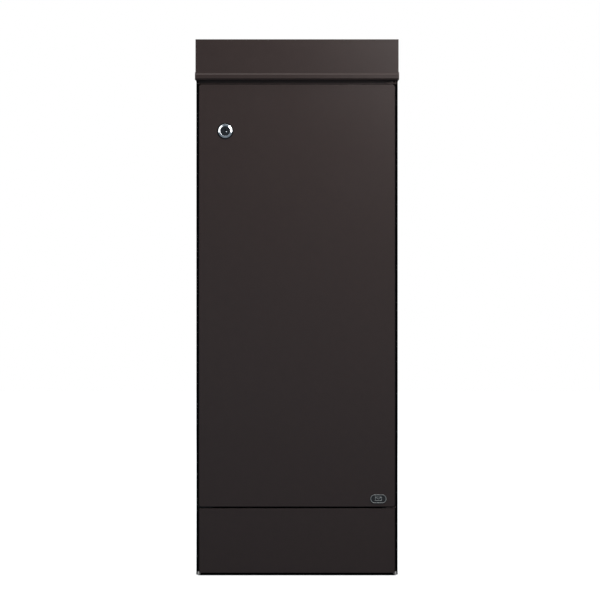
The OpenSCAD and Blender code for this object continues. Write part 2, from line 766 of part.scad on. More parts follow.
badge_in = 33.25;
badge_x = door_x - badge_in;
badge_z = door_z0 + 15.5;
badge_w = 32;
badge_h = 17;
module pill(w, h) {
    translate([-(w - h) / 2, -h / 2]) square([w - h, h]);
    for (s = [-1, 1]) translate([s * (w - h) / 2, 0]) circle(r = h / 2);
}
// A small plate with a rim and the outline of an envelope.
badge_t = 0.9;
badge_relief = 0.5;
badge_rim = 1;
envelope = [13, 8];
envelope_line = 0.8;
module door_badge() color(zinc) {
    along_y(front_y - badge_t, front_y - run_gap) translate([badge_x, badge_z])
        pill(badge_w, badge_h);
    along_y(front_y - badge_t - badge_relief, front_y - badge_t + fit_gap)
        translate([badge_x, badge_z]) {
            difference() {
                pill(badge_w, badge_h);
                pill(badge_w - 2 * badge_rim, badge_h - 2 * badge_rim);
            }
            difference() {
                square(envelope, center = true);
                square(envelope - 2 * [envelope_line, envelope_line], center = true);
            }
            // the flap
            for (s = [-1, 1]) polygon([[s * 6, envelope[1] / 2], [0, -0.4], [0, 0.8],
                [s * 4.4, envelope[1] / 2]]);
        }
}

// ---------------------------------------------------------------- lock

module at_lock() translate([-lock_x, 0, lock_z]) children();

module lock_collar() color(rubber) at_lock() difference() {
    rod_y(front_y - collar_t, front_y - run_gap, 0, 0, collar_d / 2);
    rod_y(front_y - 2 * collar_t, front_y, 0, 0, lock_hole_r);
}

housing_end = cam_y - 3 * fit_gap;
recess = 1.2;
face_in = 0.5; // the plug's face sits this far below the bezel's rim
module lock_housing() color(chrome) at_lock() difference() {
    union() {
        rod_y(bezel_y, front_y - collar_t - run_gap, 0, 0, bezel_d / 2);
        rod_y(front_y - collar_t - fit_gap, housing_end, 0, 0, barrel_d / 2);
    }
    rod_y(bezel_y - 1, bezel_y + recess, 0, 0, face_r + 2 * fit_gap);
    rod_y(bezel_y, housing_end + 1, 0, 0, plug_r + run_gap);
}

lock_nut_t = 5;
lock_nut_r = 14.5;
module lock_nut() color(zinc) at_lock() difference() {
    translate([0, front_y + sheet + fit_gap + lock_nut_t, 0]) rotate([90, 0, 0])
        cylinder(h = lock_nut_t, r = lock_nut_r, $fn = 6);
    rod_y(front_y, front_y + 2 * lock_nut_t, 0, 0, barrel_d / 2 + run_gap);
}

keyway = [1.8, 8.4];
keyway_depth = 14;
screw_depth = 6;
module lock_cylinder() color(steel) at_lock() difference() {
    union() {
        rod_y(bezel_y + face_in, bezel_y + recess - run_gap, 0, 0, face_r);
        rod_y(bezel_y + recess - fit_gap, cam_y - 2 * fit_gap, 0, 0, plug_r);
        box([-tail / 2, housing_end, -tail / 2], [tail / 2, cam_y + cam_t, tail / 2]);
    }
    box([-keyway[0] / 2, bezel_y - 1, -keyway[1] / 2],
        [keyway[0] / 2, bezel_y + keyway_depth, keyway[1] / 2]);
    rod_y(cam_y - screw_depth, cam_y + cam_t + 1, 0, 0, screw_r + run_gap);
}

cam_w = 16;
module lock_cam() color(zinc) at_lock() along_y(cam_y, cam_y + cam_t) difference() {
    union() {
        circle(r = cam_w / 2 + 2);
        translate([-cam_w / 2, -cam_len]) square([cam_w, cam_len]);
    }
    square(tail + 4 * bite, center = true);
}

cam_back = cam_y + cam_t;
module cam_washer() color(zinc) at_lock() difference() {
    rod_y(cam_back + run_gap, cam_back + washer_t, 0, 0, 7);
    rod_y(cam_y, cam_back + 2 * washer_t, 0, 0, screw_r + 2 * fit_gap);
}

module cam_screw() color(zinc) at_lock() {
    rod_y(cam_y - screw_depth + 1, cam_back + washer_t + fit_gap, 0, 0, screw_r);
    rod_y(cam_back + washer_t + run_gap, cam_back + 4, 0, 0, 4.5);
}

// ---------------------------------------------------------------- output

side_panel_left();
side_panel_right();
back_panel();
base_plate();
plinth_panel();
plinth_screws();
door_post_left();
door_post_right();
door_head();
front_header();
rear_rail();
fishing_guard();
floor_tray();
floor_mat();
door_seal();
lock_strike();
upper_hinge_bracket();
lower_hinge_bracket();
door_pivot_pins();
back_rivets();
frame_rivets();
lid_buffers();
lid_pivot_bolts();
lid_pivot_washers();
lid_pivot_nuts();
lid_shell();
lid_pivot_bushes();
hopper_floor();
hopper_cheek_left();
hopper_cheek_right();
hopper_rivets();
hopper_stop_pads();
door_panel();
door_stiffener_upper();
door_stiffener_lower();
door_hinge_plate_top();
door_hinge_plate_bottom();
door_pivot_bushes();
door_bumpers();
door_badge();
lock_collar();
lock_housing();
lock_nut();
lock_cylinder();
lock_cam();
cam_washer();
cam_screw();
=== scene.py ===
# %% [markdown]
# # A parcel drop box in powder-coated sheet
#
# The box is folded sheet metal: a hood on top that tips a hopper, one big inset door with a key
# lock, a plinth, and the frame behind them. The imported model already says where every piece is
# and how it moves. This lesson gives each piece the finish of the real one: eased sheet edges,
# bend radii, domed rivets, a turned chrome lock, moulded rubber, and a procedural material each.
# Everything is in metres, and nothing is placed by eye: places are read from the frame.

# %% Load the frame
import json
import math

import bmesh
import bpy
from mathutils import Matrix, Vector


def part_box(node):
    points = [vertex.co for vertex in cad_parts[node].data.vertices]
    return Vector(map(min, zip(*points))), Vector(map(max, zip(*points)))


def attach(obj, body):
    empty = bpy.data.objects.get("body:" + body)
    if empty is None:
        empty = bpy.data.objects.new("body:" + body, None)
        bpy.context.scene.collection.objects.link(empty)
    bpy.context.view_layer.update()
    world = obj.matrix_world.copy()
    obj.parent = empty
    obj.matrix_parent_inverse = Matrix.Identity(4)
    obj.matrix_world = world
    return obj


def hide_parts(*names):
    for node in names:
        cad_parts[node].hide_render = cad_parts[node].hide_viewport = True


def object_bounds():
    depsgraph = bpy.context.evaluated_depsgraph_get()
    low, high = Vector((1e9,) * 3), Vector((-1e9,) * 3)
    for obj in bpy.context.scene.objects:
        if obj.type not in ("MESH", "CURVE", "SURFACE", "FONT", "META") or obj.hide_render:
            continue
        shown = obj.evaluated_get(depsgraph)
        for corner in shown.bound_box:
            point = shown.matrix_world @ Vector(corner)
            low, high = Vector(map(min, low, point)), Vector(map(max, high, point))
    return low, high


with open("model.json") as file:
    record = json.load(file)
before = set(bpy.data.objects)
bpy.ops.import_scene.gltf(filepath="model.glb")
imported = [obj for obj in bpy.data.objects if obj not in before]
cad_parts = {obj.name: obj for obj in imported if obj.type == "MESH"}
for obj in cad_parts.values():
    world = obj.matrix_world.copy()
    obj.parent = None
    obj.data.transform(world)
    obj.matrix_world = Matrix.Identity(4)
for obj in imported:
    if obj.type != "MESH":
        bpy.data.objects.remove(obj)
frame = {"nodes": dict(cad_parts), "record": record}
cad_low, cad_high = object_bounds()
MM = 0.001
body_of = {n: b for b, nodes in frame["record"]["behaviour"]["bodies"].items() for n in nodes}
slot_of = {s["node"]: s["material_slot"] for s in frame["record"]["subparts"]}
print(len(frame["nodes"]), "nodes,", len(body_of), "on bodies, box", cad_low, cad_high)

# %% [markdown]
# ## The camera
#
# The box is seen straight from the front through a long lens from a few metres away, level with
# its middle. The camera comes first, so that every later step can be looked at.

# %% Camera
front_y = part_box("door_panel")[0].y
height = cad_high.z - cad_low.z
camera_away = 4.6
frame_side = height * 1.12
camera_side = 0.006
camera_up = 0.5545
camera_data = bpy.data.cameras.new("camera")
camera_data.sensor_width = 36
camera_data.lens = camera_data.sensor_width * camera_away / frame_side
camera = bpy.data.objects.new("camera", camera_data)
camera.location = (camera_side, cad_low.y - camera_away, camera_up)
camera.rotation_euler = (math.radians(90), 0, 0)
bpy.context.scene.collection.objects.link(camera)
bpy.context.scene.camera = camera
print("lens", round(camera_data.lens, 1), "mm")

# %% [markdown]
# ## Shader arithmetic
#
# A material is easier to read when its maths looks like maths. `Value` wraps a socket, and an
# expression on it adds the Math nodes. `Finish` is one material: its `node` method makes any
# other node from a type, its settings and its inputs, and `surface` fills the Principled shader.


# %% Shader helpers
class Value:
    """A number that varies over a surface: the output socket of a node."""

    def __init__(self, tree, socket):
        self.tree = tree
        self.socket = socket

    def math(self, operation, first, second):
        node = self.tree.nodes.new("ShaderNodeMath")
        node.operation = operation
        for port, term in zip(node.inputs, (first, second)):
            plug(self.tree, port, term)
        return Value(self.tree, node.outputs[0])

    def __add__(self, other):
        return self.math("ADD", self, other)

    def __mul__(self, other):
        return self.math("MULTIPLY", self, other)

    def __rsub__(self, other):
        return self.math("SUBTRACT", other, self)

    def sine(self):
        return self.math("SINE", self, 0)

    def absolute(self):
        return self.math("ABSOLUTE", self, 0)

    __radd__ = __add__
    __rmul__ = __mul__


def plug(tree, port, term):
    """Feeds a port with a socket's value or with a plain number, colour or vector."""
    if isinstance(term, Value):
        tree.links.new(term.socket, port)
    elif port.type == "RGBA":
        port.default_value = (*term, 1)
    else:
        port.default_value = term


class Finish:
    """One procedural material, read in the object's own coordinates."""

    def __init__(self, name):
        self.material = bpy.data.materials.new(name)
        self.material.use_nodes = True
        self.tree = self.material.node_tree
        self.tree.nodes.clear()
        self.shader = self.tree.nodes.new("ShaderNodeBsdfPrincipled")
        end = self.tree.nodes.new("ShaderNodeOutputMaterial")
        self.tree.links.new(self.shader.outputs[0], end.inputs[0])
        self.place = self.node("TexCoord", out="Object")

    def node(self, kind, settings=None, inputs=None, out=0):
        """Any node but Math: settings first, then its inputs by name or by number."""
        made = self.tree.nodes.new("ShaderNode" + kind)
        for key, setting in (settings or {}).items():
            if key == "stops":
                for element, (at, shade) in zip(made.color_ramp.elements, setting):
                    element.position = at
                    element.color = (shade, shade, shade, 1)
            else:
                setattr(made, key, setting)
        for key, term in (inputs or {}).items():
            plug(self.tree, made.inputs[key], term)
        return Value(self.tree, made.outputs[out])

    def axis(self, letter):
        return self.node("SeparateXYZ", inputs={"Vector": self.place}, out=letter)

    def noise(self, scale, detail=2.0, roughness=0.5, stretch=(1, 1, 1)):
        place = self.node("Mapping", inputs={"Vector": self.place, "Scale": stretch})
        return self.node("TexNoise", inputs={"Vector": place, "Scale": scale, "Detail": detail,
                                             "Roughness": roughness})

    def ramp(self, value, low, high):
        """The value spread out so that low becomes 0 and high becomes 1."""
        return self.node("ValToRGB", {"stops": [(low, 0), (high, 1)]}, {"Fac": value})

    def blend(self, share, first, second):
        return self.node("Mix", {"data_type": "RGBA"}, {0: share, 6: first, 7: second}, out=2)

    def bumps(self, *layers):
        """Height layers, each a value and its depth in metres, one on top of the other."""
        normal = None
        for value, depth in layers:
            under = {"Normal": normal} if normal else {}
            normal = self.node("Bump", inputs={"Height": value, "Distance": depth,
                                               "Strength": 1.0, **under})
        return normal

    def surface(self, **sockets):
        for key, term in sockets.items():
            plug(self.tree, self.shader.inputs[key.replace("_", " ")], term)
        return self.material


# %% [markdown]
# ## Powder coat
#
# The outside is a satin powder coat in a very dark warm brown. Powder melts into a skin with a
# fine orange peel, and a thin sheet is never quite flat, so there are two heights: a tiny grain a
# millimetre across, and a slow wave over the panel that bends the reflections. Roughness drifts
# a little, as it does where a cloth has wiped the panel.


# %% Powder coat
def powder_coat(name, deep, pale, gloss):
    f = Finish(name)
    grain = f.noise(1100, 2)
    wave = f.noise(3.2, 1, 0.4)
    drift = f.noise(7, 4, 0.6)
    tone = f.blend(f.ramp(f.noise(60, 5, 0.65), 0.3, 0.7), deep, pale)
    return f.surface(
        Base_Color=tone,
        Roughness=gloss + 0.10 * drift,
        Normal=f.bumps((wave, 0.0012), (grain, 0.00003)),
        Specular_IOR_Level=0.42,
    )


coat = powder_coat("powder_coat", (0.0280, 0.0156, 0.0127), (0.0310, 0.0173, 0.0141), 0.34)
inner_coat = powder_coat("inner_coat", (0.036, 0.024, 0.0205), (0.044, 0.029, 0.0250), 0.44)

# %% [markdown]
# ## Metals, rubber and nylon
#
# Zinc-plated fasteners are tumbled: fine streaks, uneven shine and a faint blue-yellow cast. The
# lock is turned on a lathe, which leaves rings around its axis, so those rings are a sine of the
# distance from the axis. Rubber is matt with a moulding grain, and nylon is slightly cloudy.


# %% Zinc, chrome, rubber and nylon
def plated(name, deep, pale, gloss):
    f = Finish(name)
    cloud = f.noise(180, 3)
    streak = f.noise(900, 2, 0.5, stretch=(1, 1, 0.06))
    return f.surface(
        Base_Color=f.blend(f.ramp(cloud, 0.35, 0.65), deep, pale),
        Metallic=1.0,
        Roughness=gloss + 0.14 * cloud,
        Normal=f.bumps((streak, 0.00001)),
    )


def moulded(name, deep, pale, gloss, grain_size, grain_depth, shine=0.5):
    f = Finish(name)
    grain = f.noise(grain_size, 3, 0.6)
    return f.surface(
        Base_Color=f.blend(f.ramp(f.noise(140, 4), 0.3, 0.7), deep, pale),
        Roughness=gloss + 0.12 * grain,
        Normal=f.bumps((grain, grain_depth)),
        Specular_IOR_Level=shine,
    )


def lathe_turned(name, node, deep, pale, gloss, metallic):
    """Metal with the fine rings that a lathe leaves around a round node's axis."""
    f = Finish(name)
    low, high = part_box(node)
    centre = (low + high) / 2
    centred = f.node("Mapping", inputs={"Vector": f.place, "Location": (-centre.x, 0, -centre.z)})
    across = f.node("VectorMath", {"operation": "MULTIPLY"}, {0: centred, 1: (1, 0, 1)})
    radius = f.node("VectorMath", {"operation": "LENGTH"}, {0: across}, out="Value")
    rings = (radius * 9000).sine()
    return f.surface(
        Base_Color=f.blend(f.noise(500, 3), deep, pale),
        Metallic=metallic,
        Roughness=gloss + 0.10 * f.noise(400, 3),
        Normal=f.bumps((rings, 0.000003)),
    )


zinc = plated("zinc_plate", (0.40, 0.41, 0.44), (0.56, 0.56, 0.54), 0.26)
badge_metal = plated("badge_metal", (0.50, 0.48, 0.45), (0.62, 0.60, 0.56), 0.36)
enamel = moulded("badge_enamel", (0.010, 0.009, 0.009), (0.016, 0.014, 0.014), 0.30, 700, 0.00001)
rubber = moulded("black_rubber", (0.008, 0.008, 0.008), (0.014, 0.014, 0.015), 0.62, 900, 0.00004,
                 shine=0.12)
# A matt near-black for the side panels' hem faces: painted shade that stands in for the shade of
# the narrow gap beside the door.
painted_shade_edge = moulded("painted_shade_edge", (0.001, 0.001, 0.001), (0.002, 0.002, 0.002), 0.8, 500, 0.00002,
                     shine=0.03)
nylon = moulded("nylon", (0.62, 0.61, 0.57), (0.70, 0.69, 0.64), 0.38, 500, 0.00001)
bright = lathe_turned("lock_chrome", "lock_housing", (0.78, 0.79, 0.80), (0.86, 0.87, 0.88),
                      0.07, 1.0)
dark_steel = lathe_turned("lock_dark", "lock_housing", (0.022, 0.024, 0.027),
                          (0.040, 0.043, 0.048), 0.22, 0.6)
finish_of = {
    "powder_coat": coat,
    "inner_coat": inner_coat,
    "zinc_plate": zinc,
    "lock_chrome": bright,
    "lock_dark": dark_steel,
    "black_rubber": rubber,
    "nylon": nylon,
    "badge_metal": badge_metal,
}
print(len(finish_of), "finishes")

# %% [markdown]
# ## From a bmesh to a piece
#
# Every piece is finished in the same way: smooth shading, its material, the body it rides on,
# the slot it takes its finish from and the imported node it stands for. The sharp edges carry a
# bevel weight, and a Bevel modifier rounds them all in one go, so that corners stay clean.

# %% Helpers for pieces
CREASE = math.radians(22)


def is_sharp(edge):
    return edge.is_manifold and abs(edge.calc_face_angle_signed()) > CREASE


def finish_piece(name, bm, node):
    """Makes a piece of a bmesh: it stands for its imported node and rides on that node's body."""
    for face in bm.faces:
        face.smooth = True
    mesh = bpy.data.meshes.new(name)
    bm.to_mesh(mesh)
    bm.free()
    piece = bpy.data.objects.new(name, mesh)
    bpy.context.scene.collection.objects.link(piece)
    piece.data.materials.append(finish_of[slot_of[node]])
    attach(piece, body_of[node])
    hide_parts(node)
    return piece


def add_bevel(piece, width, segments=3):
    bevel = piece.modifiers.new("bevel", "BEVEL")
    bevel.limit_method = "WEIGHT"
    bevel.width = width
    bevel.segments = segments
    bevel.use_clamp_overlap = True
    normals = piece.modifiers.new("normals", "WEIGHTED_NORMAL")
    normals.keep_sharp = True
    return piece


def rounded(name, bm, node, radius, segments=2):
    """A piece with every sharp edge rounded alike."""
    weight = bm.edges.layers.float.new("bevel_weight_edge")
    for edge in filter(is_sharp, bm.edges):
        edge[weight] = 1.0
    return add_bevel(finish_piece(name, bm, node), radius, segments)


# %% [markdown]
# ## Folded sheet
#
# The imported solids are square at every edge. Real sheet has three kinds of edge: the sheared rim,
# barely rounded; the outside of a bend, with a clear radius; and the inside of a bend, tighter.
# The imported mesh is copied, its loose triangles are welded and flat regions merged. A face that
# is thinner than the sheet marks a rim, and the sign of the fold tells outside from inside. The
# front edges of the two side panels are hemmed shut, and their hem faces carry painted shade: a
# matt near-black that stands in for the shade of the gap beside the door. So those two are cut a
# little behind the hem, and the faces in front of the cut take the painted shade. The lid's lip is
# rolled over along its top, with a wider bend than the lid's other edges.

# %% Folded sheet
FLAT = math.radians(0.6)
NEAR = 1e-7
PAINTED_SHADE_DEPTH = 6 * MM
LIP_ROLL = 1.7
TOUCH = 0.01 * MM


def welded(node):
    bm = bmesh.new()
    bm.from_mesh(frame["nodes"][node].data)
    bmesh.ops.remove_doubles(bm, verts=bm.verts, dist=0.004 * MM)
    bmesh.ops.dissolve_limit(bm, angle_limit=FLAT, verts=bm.verts, edges=bm.edges)
    return bm


def girth(face):
    """How wide a long thin face is."""
    return 2 * face.calc_area() / face.calc_perimeter()


def folded(node, bend=1.8 * MM, inside=0.8 * MM, rim=0.35 * MM, thin=1.7 * MM, hem=0.0):
    """A folded-sheet piece with its three kinds of edge rounded. Its faces in front of a hem's
    depth take its second material, which on the side panels is painted shade."""
    bm = welded(node)
    if hem:
        bmesh.ops.bisect_plane(bm, geom=[*bm.verts, *bm.edges, *bm.faces], dist=NEAR,
                               plane_co=(0, front_y + hem, 0), plane_no=(0, 1, 0))
        for face in bm.faces:
            face.material_index = int(face.calc_center_median().y < front_y + hem)
    weight = bm.edges.layers.float.new("bevel_weight_edge")
    for edge in filter(is_sharp, bm.edges):
        thinnest = min(girth(face) for face in edge.link_faces)
        if thinnest < thin:
            edge[weight] = min(rim, 0.3 * thinnest) / bend
        elif edge.is_convex:
            edge[weight] = 1.0
        else:
            edge[weight] = inside / bend
    return add_bevel(finish_piece(node + "_sheet", bm, node), bend)


def widen_lip(piece):
    """Rolls the edge along the lip's top wider, and leaves the other bends as they were."""
    mesh = piece.data
    at_front = cad_low.y + TOUCH
    lip_top = max(v.co.z for v in mesh.vertices if v.co.y < at_front) - TOUCH
    piece.modifiers["bevel"].width *= LIP_ROLL
    for edge, weight in zip(mesh.edges, mesh.attributes["bevel_weight_edge"].data):
        ends = [mesh.vertices[i].co for i in edge.vertices]
        if not all(end.y < at_front and end.z > lip_top for end in ends):
            weight.value /= LIP_ROLL


# The side panels' faces in front of the cut take the painted shade, dark as the gap beside the
# door.
for node in ("side_panel_left", "side_panel_right"):
    folded(node, hem=PAINTED_SHADE_DEPTH).data.materials.append(painted_shade_edge)
for node in ("back_panel", "plinth_panel", "door_post_left", "door_post_right", "door_head",
             "front_header", "rear_rail", "fishing_guard", "floor_tray", "hopper_floor",
             "hopper_cheek_left", "hopper_cheek_right", "door_stiffener_upper",
             "door_stiffener_lower", "base_plate"):
    folded(node)
widen_lip(folded("lid_shell", bend=1.6 * MM, inside=0.7 * MM))
folded("door_panel", bend=2.2 * MM)
for node in ("upper_hinge_bracket", "lower_hinge_bracket"):
    folded(node, bend=1.5 * MM, thin=1.0 * MM)

# %% [markdown]
# ## Turned pieces
#
# Rivets, bolts, nuts, washers, bushes and rubber feet are all round, so each is an outline of
# radii and heights spun around its axis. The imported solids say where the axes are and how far
# each piece reaches. A hexagon or a cross needs no cutting: a ring of the spun mesh is drawn in
# or out to the radius that the hexagon or cross has at each angle.

# %% Where the round solids are
ALONG_X, ALONG_Y, ALONG_Z = Vector((1, 0, 0)), Vector((0, 1, 0)), Vector((0, 0, 1))


def separate_solids(node):
    """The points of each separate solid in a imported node."""
    bm = welded(node)
    left = set(bm.verts)
    found = []
    while left:
        group, edge = set(), {left.pop()}
        while edge:
            group |= edge
            edge = {link.other_vert(v) for v in edge for link in v.link_edges} - group
        left -= group
        found.append([v.co.copy() for v in group])
    bm.free()
    return sorted(found, key=lambda points: tuple(round(min(c), 5) for c in zip(*points)))


def turn_to(axis):
    return axis.to_track_quat("Z", "Y").to_matrix()


def extent(points, axis):
    """The box of some points in a frame whose Z runs along the axis."""
    back = turn_to(axis).inverted()
    return [Vector([pick(c) for c in zip(*(back @ p for p in points))]) for pick in (min, max)]


def rods(node, axes, mirrored=False):
    """For each round solid: its axis, a point on it, its two ends along it and its radius."""
    found = []
    for points in separate_solids(node):
        flip = -1 if mirrored and sum(p.x for p in points) < 0 else 1
        choices = [Vector((flip * a.x, a.y, a.z)) for a in axes]

        def out_of_round(axis):
            low, high = extent(points, axis)
            return abs((high.x - low.x) - (high.y - low.y))

        axis = min(choices, key=out_of_round)
        low, high = extent(points, axis)
        on_axis = turn_to(axis) @ Vector(((low.x + high.x) / 2, (low.y + high.y) / 2, 0))
        radius = max(high.x - low.x, high.y - low.y) / 2
        found.append((axis, on_axis, low.z, high.z, radius))
    return found


# %% Spinning an outline
STEPS = 48


def hexagon(apothem, turn=0.0):
    """How far a hexagon reaches at an angle, with a corner at the angle that it is turned by."""
    return lambda angle: apothem / math.cos((angle - turn) % (math.tau / 6) - math.tau / 12)


def cross(arm, half):
    """How far a cross with arms of that length and half width reaches at an angle."""
    def reach(angle):
        off = abs((angle + math.tau / 8) % (math.tau / 4) - math.tau / 8)
        return min(arm / math.cos(off), half / max(math.sin(off), 0.01))
    return reach


def spin(bm, outline, axis, at, shapes, steps):
    """Spins pairs of radius and height. A ring whose radius is in shapes takes that shape."""
    old = set(bm.verts)
    ring = [bm.verts.new((radius, 0, rise)) for radius, rise in outline]
    chain = [bm.edges.new(pair) for pair in zip(ring, ring[1:])]
    bmesh.ops.spin(bm, geom=ring + chain, cent=(0, 0, 0), axis=(0, 0, 1), angle=math.tau,
                   steps=steps, use_merge=True)
    bmesh.ops.remove_doubles(bm, verts=[v for v in bm.verts if v not in old], dist=NEAR)
    made = [v for v in bm.verts if v not in old]
    for vert in made:
        for radius, shape in shapes.items():
            if abs(vert.co.xy.length - radius) < NEAR:
                reach = shape(math.atan2(vert.co.y, vert.co.x)) / radius
                vert.co = (vert.co.x * reach, vert.co.y * reach, vert.co.z)
                break
    bmesh.ops.recalc_face_normals(bm, faces=list({f for v in made for f in v.link_faces}))
    bmesh.ops.transform(bm, verts=made,
                        matrix=Matrix.Translation(at) @ turn_to(axis).to_4x4())


def turned(node, axes, outline, radius=0.2 * MM, mirrored=False, shapes=None, steps=STEPS):
    """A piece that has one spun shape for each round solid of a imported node."""
    bm = bmesh.new()
    for axis, at, low, high, r in rods(node, axes, mirrored):
        spin(bm, outline(low, high, r), axis, at, shapes or {}, steps)
    print(node, len(bm.verts), "points")
    return rounded(node + "_turned", bm, node, radius)


def arc(centre, size, start, stop, count=8):
    """Points on an ellipse: a centre and size in radius and height, angles in degrees."""
    for i in range(count + 1):
        angle = math.radians(start + (stop - start) * i / count)
        yield centre[0] + size[0] * math.cos(angle), centre[1] + size[1] * math.sin(angle)


def threads(radius, start, stop, pitch=0.8 * MM, depth=0.3 * MM):
    """Ridges from one height to another."""
    turns = max(1, int(abs(stop - start) / pitch))
    step = (stop - start) / turns
    for i in range(turns):
        yield radius - depth, start + i * step
        yield radius, start + (i + 0.5) * step
    yield radius - depth, stop


# %% [markdown]
# ## Rivets
#
# A blind rivet has a low domed head with a small pit, whose floor is the broken end of its
# mandrel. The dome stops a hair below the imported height. The hopper's rivets sit square to its
# sloping floor, which lies as far below the lid as the lid opens, so their axis comes from the
# lid joint's range.

# %% Rivets
lid_range = next(j["range_deg"] for j in frame["record"]["behaviour"]["joints"]
                 if j["name"] == "lid_hinge")
floor_line = math.pi + math.radians(lid_range[1])
out_of_hopper_floor = Vector((0, -math.sin(floor_line), math.cos(floor_line)))
RIVET_SHANK = 2.4 * MM
RIVET_HEAD = 1.28 * MM
RIVET_SHORT = 0.03 * MM
MANDREL = 1.1 * MM
PIT_DEPTH = 0.6 * MM


def rivet(low, high, r):
    high -= RIVET_SHORT
    seat = high - RIVET_HEAD
    pit = high - PIT_DEPTH
    edge_of_pit = math.degrees(math.acos(MANDREL / r))
    dome = list(arc((0, seat), (r, RIVET_HEAD), edge_of_pit, 0, 12))
    return [(0, pit), (MANDREL, pit), *dome, (RIVET_SHANK, seat), (RIVET_SHANK, low), (0, low)]


turned("back_rivets", [ALONG_Y], rivet, 0.1 * MM)
turned("frame_rivets", [-ALONG_X], rivet, 0.1 * MM, mirrored=True)
turned("hopper_rivets", [out_of_hopper_floor], rivet, 0.1 * MM)

# %% [markdown]
# ## Screws, bolts and nuts
#
# The lid turns on two low-headed bolts with a hexagon socket, held inside by a washer and a nut
# with chamfered corners. The plinth and the lock's cam have pan-head screws with a cross recess.
# Where a thread shows, it is a row of ridges in the outline.

# %% Screws, bolts and nuts
LID_PIN = 4.0 * MM
SCREW = 2.0 * MM
SOCKET = 3.0 * MM
RECESS = 1.9 * MM
RECESS_FLOOR = 1.0 * MM
CROSS = {RECESS: cross(RECESS, 0.45 * MM), RECESS_FLOOR: cross(RECESS_FLOOR, 0.35 * MM)}


def bolt(low, high, r):
    head = 2.0 * MM
    floor_of_socket = high - 1.3 * MM
    crown = arc((r - head * 0.55, high - head * 0.6), (head * 0.55, head * 0.6), 80, 0, 5)
    return [(0, floor_of_socket), (SOCKET, floor_of_socket), (SOCKET, high), *crown,
            (r, high - head), (LID_PIN, high - head), (LID_PIN, low + 7.5 * MM),
            *threads(LID_PIN, low + 7.4 * MM, low + 0.5 * MM, 1.25 * MM, 0.5 * MM), (0, low)]


def pan_screw(low, high, r):
    head = 2.4 * MM
    crown = arc((r * 0.55, high - head * 0.7), (r * 0.45, head * 0.7), 80, 0, 6)
    return [(0, high - 1.2 * MM), (RECESS_FLOOR, high - 1.1 * MM), (RECESS, high), *crown,
            (r, high - head), (SCREW, high - head),
            *threads(SCREW, high - head - 0.2 * MM, low + 0.4 * MM), (0, low)]


def washer(bore):
    return lambda low, high, r: [(bore, low), (r, low), (r, high), (bore, high), (bore, low)]


def nut(bore):
    """Two rings take the hexagon, and the rings just inside them stay round as a chamfer."""
    def outline(low, high, r):
        chamfer, rise = r * 0.85, 0.9 * MM
        return [(bore, low), (chamfer, low), (r, low + rise), (r, high - rise), (chamfer, high),
                (bore + 0.4 * MM, high), (bore, high - 0.4 * MM), (bore, low)]
    return outline


def nut_shape(node, axis, turn, mirrored=False):
    """The ring of a hexagon nut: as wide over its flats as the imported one."""
    r = rods(node, [axis], mirrored)[0][4]
    return {r: hexagon(r * math.cos(math.pi / 6), turn)}


turned("lid_pivot_bolts", [ALONG_X], bolt, 0.12 * MM, True, {SOCKET: hexagon(2.5 * MM)})
turned("lid_pivot_washers", [ALONG_X], washer(LID_PIN + 0.15 * MM), mirrored=True)
turned("lid_pivot_nuts", [ALONG_X], nut(LID_PIN + 0.05 * MM), 0.15 * MM, True,
       nut_shape("lid_pivot_nuts", ALONG_X, math.pi / 2, True))
turned("plinth_screws", [ALONG_Y, ALONG_Z], pan_screw, 0.08 * MM, shapes=CROSS)
turned("cam_screw", [ALONG_Y], pan_screw, 0.08 * MM, shapes=CROSS)
turned("cam_washer", [ALONG_Y], washer(SCREW + 0.2 * MM))

# %% [markdown]
# ## Bushes and rubber feet
#
# The nylon bushes carry a flange against the side panel. The buffers under the lid, the pads on
# the hopper and the bumpers on the door are moulded rubber with a crowned end.


# %% Bushes and rubber feet
def flanged_bush(low, high, r):
    bore, barrel, flange = LID_PIN + 0.05 * MM, LID_PIN + 2.0 * MM, 0.25 * MM
    return [(bore, low), (r, low), (r, low + flange), (barrel, low + flange), (barrel, high),
            (bore, high), (bore, low)]


def crowned(low, high, r):
    crown = 0.28 * (high - low)
    return [(0, high), *arc((r * 0.45, high - crown), (r * 0.55, crown), 90, 0, 6), (r, low),
            (0, low)]


turned("lid_pivot_bushes", [ALONG_X], flanged_bush, 0.08 * MM, mirrored=True)
turned("door_pivot_bushes", [ALONG_Z], washer(2.55 * MM), 0.15 * MM)
turned("lid_buffers", [ALONG_Z], crowned, 0.5 * MM)
turned("hopper_stop_pads", [-out_of_hopper_floor], crowned, 0.4 * MM)
turned("door_bumpers", [ALONG_Y], crowned, 0.4 * MM)

# %% [markdown]
# ## The lock
#
# A black collar sits on the door, and on it a chrome bezel. The bezel's ring is a cone between a
# rolled shoulder and a rolled crest, so that each side mirrors one light as a broad arc. In the
# ring is the plug's dark face with an upright keyway. The bezel and collar are spun outlines. The
# plug's face is a disc with a slot: its circle and the slot's rectangle are filled between as one
# face, and both loops are then extruded to their depths. A small polished pin with a domed end
# stands beside the keyway, low on the right.

# %% The lock's fixed pieces
LOCK_STEPS = 96
BARREL = 9.5 * MM
PLUG = 7.5 * MM
PLUG_FACE = 9.8 * MM
CONE = 27
CREST = 0.5 * MM
SHOULDER = 0.7 * MM
_, lock_at, bezel_y, _, bezel_r = rods("lock_housing", [ALONG_Y])[0]
bezel_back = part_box("lock_collar")[0].y - 0.05 * MM
recess_y = bezel_y + 1.2 * MM


def collar(low, high, r):
    hole = BARREL + 0.1 * MM
    return [(hole, low), (r - 1.6 * MM, low), (r, low + 0.7 * MM), (r, high), (hole, high),
            (hole, low)]


